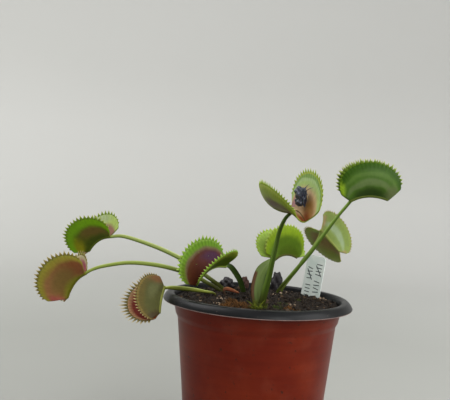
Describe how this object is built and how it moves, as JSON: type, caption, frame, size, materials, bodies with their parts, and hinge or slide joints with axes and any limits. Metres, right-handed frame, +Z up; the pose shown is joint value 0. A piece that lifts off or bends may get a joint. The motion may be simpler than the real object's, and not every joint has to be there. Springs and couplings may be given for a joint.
{
  "type": "potted venus flytrap",
  "caption": "Venus flytrap with toothed snap traps on slim stalks, growing in a two-colour round nursery pot with a plain plant label.",
  "frame": {"origin": "centre of the pot's flat base, on the surface that the pot stands on", "axes": "+Z up along the pot's axis, -Y towards the front of the plant, +X to the right seen from the front"},
  "size_m": [0.2055, 0.105, 0.1733],
  "materials": {
    "pot": "semi-matt terracotta polypropylene outside, black inside and on the lip",
    "soil": "damp crumbly peat with bark fibre, moss and perlite",
    "leaf_green": "living leaf, smooth and softly glossy, green with a brown-olive trap",
    "leaf_reddened": "living leaf, smooth, brown-mauve and tan trap with reddish edges",
    "leaf_bright": "living leaf, smooth and softly glossy, bright yellow-green",
    "leaf_pale": "living leaf, smooth, pale grey-green with a brown-olive shaded lobe",
    "withered_leaf": "dried leaf, reddish orange, dull",
    "withered_trap": "blackened dried trap, crumpled and dull",
    "bark": "rough brown bark chip",
    "plant_label": "thin white polystyrene tag, slightly dirty, satin",
    "insect_husk": "blue-black dried insect shell, satin"
  },
  "bodies": {
    "root": {"pot": "pot", "soil": "soil", "leaf_top_left": "leaf_green", "leaf_left": "leaf_reddened", "leaf_over_rim": "leaf_reddened", "leaf_low_centre": "leaf_green", "leaf_high_centre": "leaf_green", "leaf_mid_right": "leaf_bright", "leaf_right": "leaf_pale", "leaf_top_right": "leaf_green", "withered_leaf": "withered_leaf", "withered_trap_left": "withered_trap", "withered_trap_right": "withered_trap", "bark_chip": "bark", "plant_label": "plant_label", "insect_husk": "insect_husk"}
  },
  "joints": []
}
